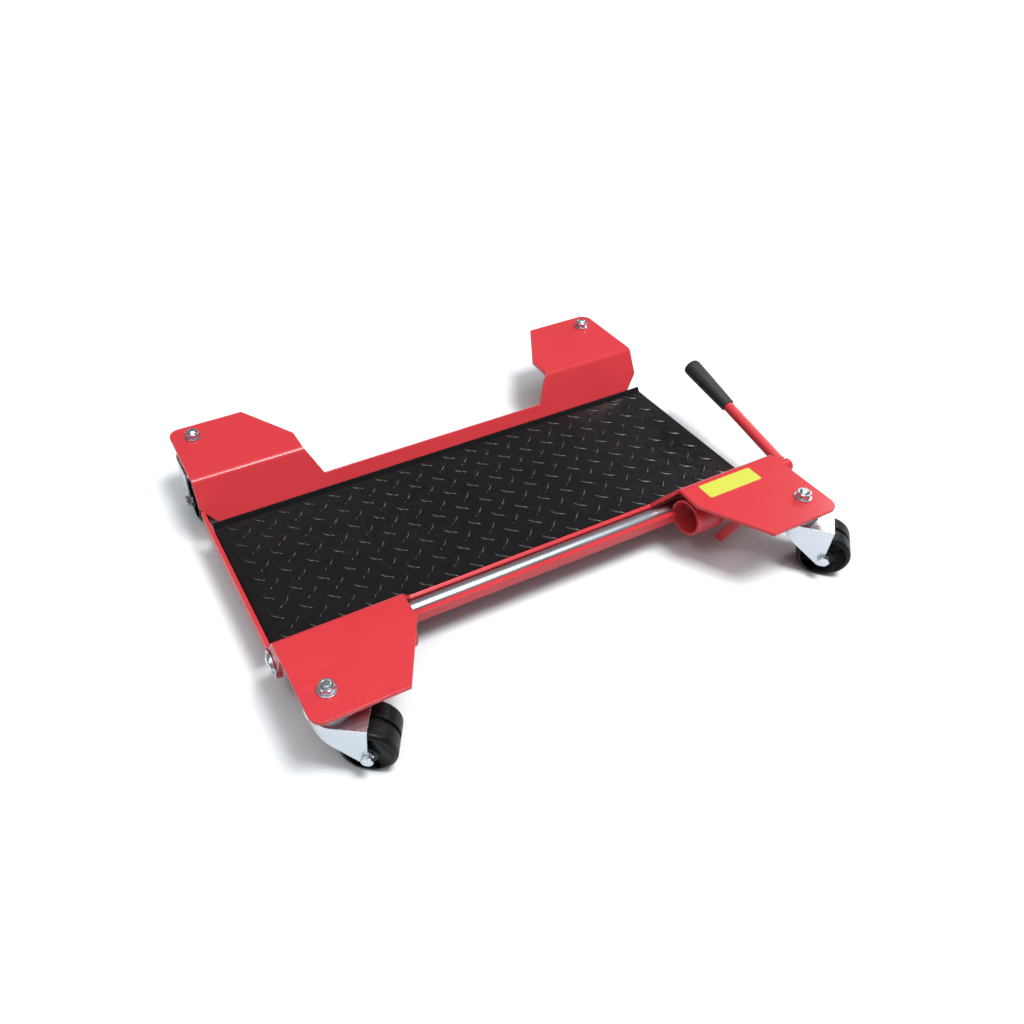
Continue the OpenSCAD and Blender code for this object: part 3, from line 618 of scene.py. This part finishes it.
def weld(name, points, radius, body, squash=0.8):
    """A painted bead of overlapping drops through points in mm from the deck's middle."""
    bm = bmesh.new()
    for a, b in zip(points, points[1:]):
        a, b = Vector(a), Vector(b)
        drops = max(1, round((b - a).length / (radius * DROP_STEP)))
        for k in range(drops):
            drop = bmesh.ops.create_icosphere(bm, subdivisions=2, radius=radius * MM)["verts"]
            bmesh.ops.scale(bm, verts=drop, vec=(1, 1, squash))
            bmesh.ops.translate(bm, verts=drop, vec=deck(*a.lerp(b, k / drops)))
    return dressed(name, smooth_shaded(bm, name, crease=60), "red_paint", body)


print("Drops lie", DROP_STEP, "of their radius apart")

# %% [markdown]
# The two places where a ring's circle meets the shaft's circle, seen along the shaft, follow from
# the two radii and the distance between the axes.

# %% Welds on the rings
SHAFT_R, RING_R, RING_OFFSET, RING_RISE = 8.0, 19.0, 26.0, 22.4
RING_BEAD, SEAM_LIFT = 1.6, 0.3
RING_STARTS = {"left": -192.0, "right": 158.0}
BEAD_FROM, BEAD_TO = 1.5, 32.5
ring_rise = math.radians(RING_RISE)
out = Vector((0, -math.cos(ring_rise), math.sin(ring_rise)))
side = Vector((0, -out.z, out.y))
to_chord = (SHAFT_R ** 2 - RING_R ** 2 + RING_OFFSET ** 2) / (2 * RING_OFFSET)
half_chord = math.sqrt(SHAFT_R ** 2 - to_chord ** 2)
shaft_axis = Vector((0, SHAFT_Y, SHAFT_Z))
for word, start in RING_STARTS.items():
    for seam, sign in (("upper", 1), ("lower", -1)):
        spot = shaft_axis + out * to_chord + side * sign * (half_chord + SEAM_LIFT)
        weld(f"ring_weld_{word}_{seam}",
             [(start + BEAD_FROM, spot.y, spot.z), (start + BEAD_TO, spot.y, spot.z)],
             RING_BEAD, "lock")
print("Seams lie", round(half_chord + SEAM_LIFT, 2), "mm from the line between the axes")

# %% [markdown]
# Each strap has a bead on both sides where it meets the wing, and the lever has a thin ring of
# drops round its foot.

# %% Welds on straps and lever
STRAP_BEAD, STRAP_X, STRAP_HALF = 1.3, 197.5, 2.9
STRAP_FRONT, STRAP_REAR, WING_UNDER = -177.0, -168.5, 75.6
LEVER_BEAD, LEVER_BEAD_RING, LEVER_BEAD_OUT = 0.8, 5.9, 7.9
RING_DROPS = 14
for word, middle in (("left", -STRAP_X), ("right", STRAP_X)):
    for seam, aside in (("inner", -STRAP_HALF), ("outer", STRAP_HALF)):
        weld(f"strap_weld_{word}_{seam}",
             [(middle + aside, STRAP_REAR, WING_UNDER), (middle + aside, STRAP_FRONT, WING_UNDER)],
             STRAP_BEAD, "deck")
foot_up = Vector((0, -lever_line.z, lever_line.y))
lever_x = (lever_foot.x - deck_mid.x) / MM
bead_middle = Vector((lever_x, SHAFT_Y, SHAFT_Z)) + lever_line * LEVER_BEAD_OUT
foot_turns = [math.tau * k / RING_DROPS for k in range(RING_DROPS + 1)]
foot_ring = [bead_middle + Vector((1, 0, 0)) * LEVER_BEAD_RING * math.cos(t)
             + foot_up * LEVER_BEAD_RING * math.sin(t) for t in foot_turns]
weld("lever_weld", foot_ring, LEVER_BEAD, "lock", squash=1.0)
print("Weld beads laid")

# %% [markdown]
# ## The yellow film
# A thin plain film sits on the front right wing. A rectangle with rounded corners, 0.15 thick, is
# enough, and its edge catches a fine line of light.

# %% Film on the wing
FILM_L, FILM_W, FILM_T, FILM_CORNER = 66.5, 19.3, 0.15, 1.5
FILM_PLACE = (209.3, -133.4, 80.0)
FILM_CORNER_STEPS = 4
label = bmesh.new()
bmesh.ops.create_grid(label, x_segments=1, y_segments=1, size=0.5)
bmesh.ops.scale(label, verts=label.verts, vec=(FILM_L * MM, FILM_W * MM, 1))
bmesh.ops.bevel(label, geom=list(label.verts), offset=FILM_CORNER * MM, offset_type="OFFSET",
                segments=FILM_CORNER_STEPS, profile=0.5, affect="VERTICES",
                clamp_overlap=True, material=-1)
thick = bmesh.ops.extrude_face_region(label, geom=list(label.faces))
risen = [g for g in thick["geom"] if isinstance(g, bmesh.types.BMVert)]
bmesh.ops.translate(label, verts=risen, vec=(0, 0, FILM_T * MM))
bmesh.ops.recalc_face_normals(label, faces=label.faces)
bmesh.ops.translate(label, verts=label.verts, vec=deck(*FILM_PLACE))
label_mesh = smooth_shaded(label, "bare_label")
label_mesh.materials.append(film_yellow)
label_piece = bpy.data.objects.new("bare_label", label_mesh)
bpy.context.scene.collection.objects.link(label_piece)
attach(label_piece, "deck")
print("Film laid at", FILM_PLACE)

# %% [markdown]
# ## Floor
# The picture is a studio cut-out on a white ground with soft contact shadows. Near the dolly the
# floor is pale grey paper, so that the key lamp brings it just to white and its shadows still
# show. Between 0.45 and 1.3 metres out the paper turns whiter and begins to glow a little, so that
# the ground stays white up to the frame's edge, where less light falls on it.

# %% Floor
NEAR, FAR, GLOW = 0.45, 1.3, 0.9
FLOOR_HALF = 6.0
paper, tree, shader, where = new_finish("Pale studio paper")
reach = add(tree, "ShaderNodeVectorMath", {"operation": "LENGTH"}, links={0: where})
sweep = add(tree, "ShaderNodeMapRange", {"interpolation_type": "SMOOTHSTEP"},
            {"From Min": NEAR, "From Max": FAR}, {"Value": reach.outputs["Value"]})
tone = add(tree, "ShaderNodeMix", {"data_type": "RGBA"},
           {MIX_FIRST: srgb("#D6DADC"), MIX_SECOND: srgb("#FCFCFC")},
           {MIX_SHARE: sweep.outputs[0]})
tree.links.new(tone.outputs[MIX_COLOUR], shader.inputs["Base Color"])
wash = add(tree, "ShaderNodeMath", {"operation": "MULTIPLY"}, {1: GLOW}, {0: sweep.outputs[0]})
shader.inputs["Emission Color"].default_value = srgb("#FFFFFF")
tree.links.new(wash.outputs[0], shader.inputs["Emission Strength"])
shader.inputs["Roughness"].default_value = 0.9
floor_bm = bmesh.new()
bmesh.ops.create_grid(floor_bm, x_segments=1, y_segments=1, size=FLOOR_HALF)
floor_mesh = bpy.data.meshes.new("floor")
floor_bm.to_mesh(floor_mesh)
floor_bm.free()
floor_mesh.materials.append(paper)
floor = bpy.data.objects.new("floor", floor_mesh)
bpy.context.scene.collection.objects.link(floor)
print("Floor laid")

# %% [markdown]
# ## Light
# A white sky all round would be mirrored in every flat top and wash its colour out. So the sky is
# a studio with dark walls and a broad bright softbox overhead: the sky's strength follows how close
# a direction is to the softbox. The camera itself sees plain white, so the background stays white.
# Three lamps add to it. A soft key stands high and to the front right, and its size makes the
# shadows soft. A strip on the right and a small one on the left draw the streaks on the treads.

# %% Sky
SOFTBOX_TOWARD = (-0.1, -0.1, 0.99)
SOFTBOX_EDGE, SOFTBOX_CORE = 0.78, 0.98
WALLS, SOFTBOX, SEEN_WHITE = 0.22, 1.9, 1.1
MIX_FLOAT_FIRST, MIX_FLOAT_SECOND = 2, 3
world = bpy.data.worlds.new("studio sky")
bpy.context.scene.world = world
world.use_nodes = True
tree = world.node_tree
sky = tree.nodes["Background"]
sky.inputs["Color"].default_value = srgb("#FBFCFF")
toward = add(tree, "ShaderNodeTexCoord").outputs["Generated"]
closeness = add(tree, "ShaderNodeVectorMath", {"operation": "DOT_PRODUCT"},
                {1: SOFTBOX_TOWARD}, {0: toward})
shade = add(tree, "ShaderNodeMapRange", {"interpolation_type": "SMOOTHSTEP"},
            {"From Min": SOFTBOX_EDGE, "From Max": SOFTBOX_CORE,
             "To Min": WALLS, "To Max": SOFTBOX}, {"Value": closeness.outputs["Value"]})
camera_ray = add(tree, "ShaderNodeLightPath").outputs["Is Camera Ray"]
seen = add(tree, "ShaderNodeMix", {"data_type": "FLOAT"}, {MIX_FLOAT_SECOND: SEEN_WHITE},
           {MIX_SHARE: camera_ray, MIX_FLOAT_FIRST: shade.outputs[0]})
tree.links.new(seen.outputs[0], sky.inputs["Strength"])
bpy.context.scene.view_settings.view_transform = "Standard"
print("Softbox strength", SOFTBOX, "walls", WALLS)

# %% Lamps


def lamp(name, place, size, power):
    """A square soft lamp that faces the dolly: place and size in metres, power in watts."""
    data = bpy.data.lights.new(name, "AREA")
    data.size = size
    data.energy = power
    made = bpy.data.objects.new(name, data)
    bpy.context.scene.collection.objects.link(made)
    made.location = place
    made.rotation_mode = "QUATERNION"
    made.rotation_quaternion = (-Vector(place)).to_track_quat("-Z", "Y")
    return made


lamp("soft key", (0.4, -0.75, 2.9), 0.9, 100)
lamp("right strip", (1.6, 0.28, 0.95), 0.5, 7)
lamp("left strip", (-0.95, -0.2, 1.45), 0.3, 4)
print("Lamps set")
